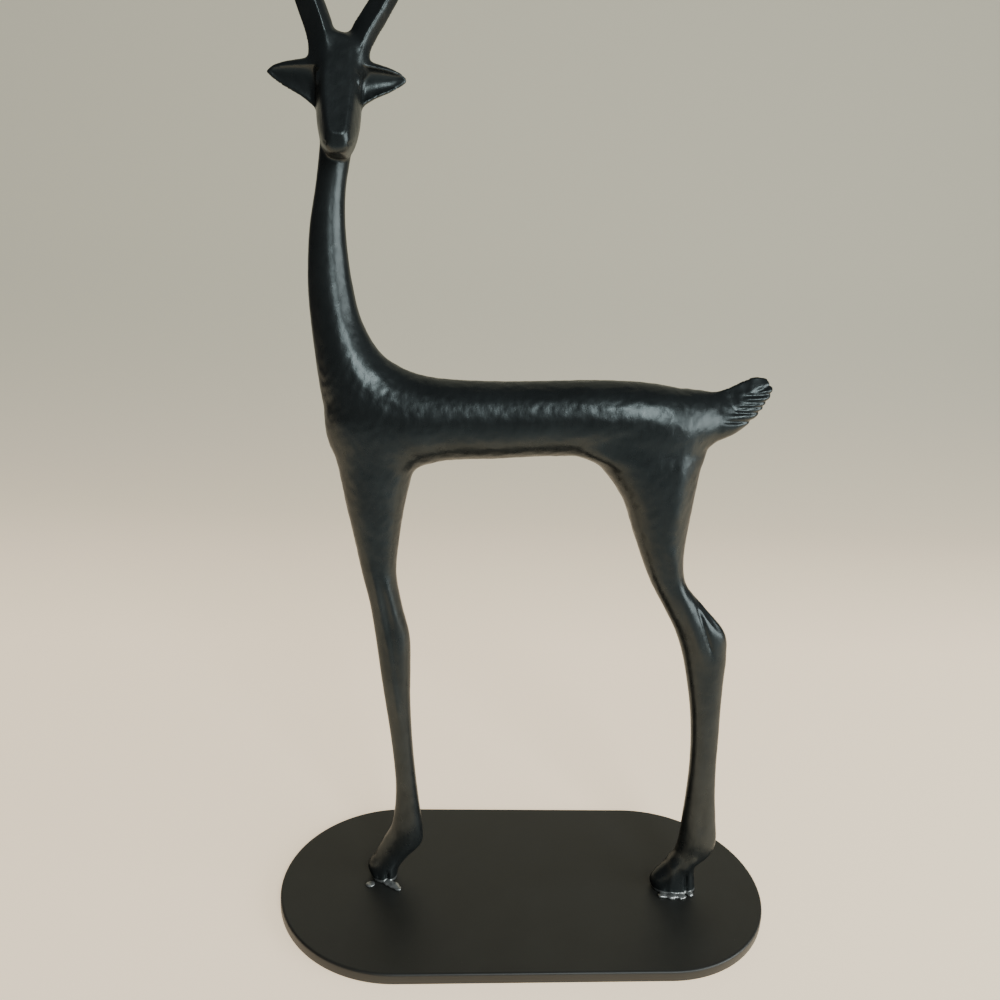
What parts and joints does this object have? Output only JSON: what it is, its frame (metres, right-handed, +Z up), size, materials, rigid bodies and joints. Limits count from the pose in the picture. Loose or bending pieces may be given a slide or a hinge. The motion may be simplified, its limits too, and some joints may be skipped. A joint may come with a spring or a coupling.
{
  "type": "stag statue",
  "caption": "Slender cast iron stag on long legs, head turned over its shoulder under tall plain horns, fixed to a flat plate with round ends; a shelf or mantel ornament.",
  "frame": {"origin": "middle of the plate's underside, where the statue stands", "axes": "+Z up through the horns, +X along the plate towards the tail, -Y towards the side that the face looks to"},
  "size_m": [0.253, 0.122, 0.4577],
  "materials": {
    "cast_iron": "satin near-black, burnished, with fine tool marks",
    "plate_iron": "smooth satin, very dark olive grey"
  },
  "bodies": {
    "root": {"stag": "cast_iron", "base_plate": "plate_iron"}
  },
  "joints": []
}
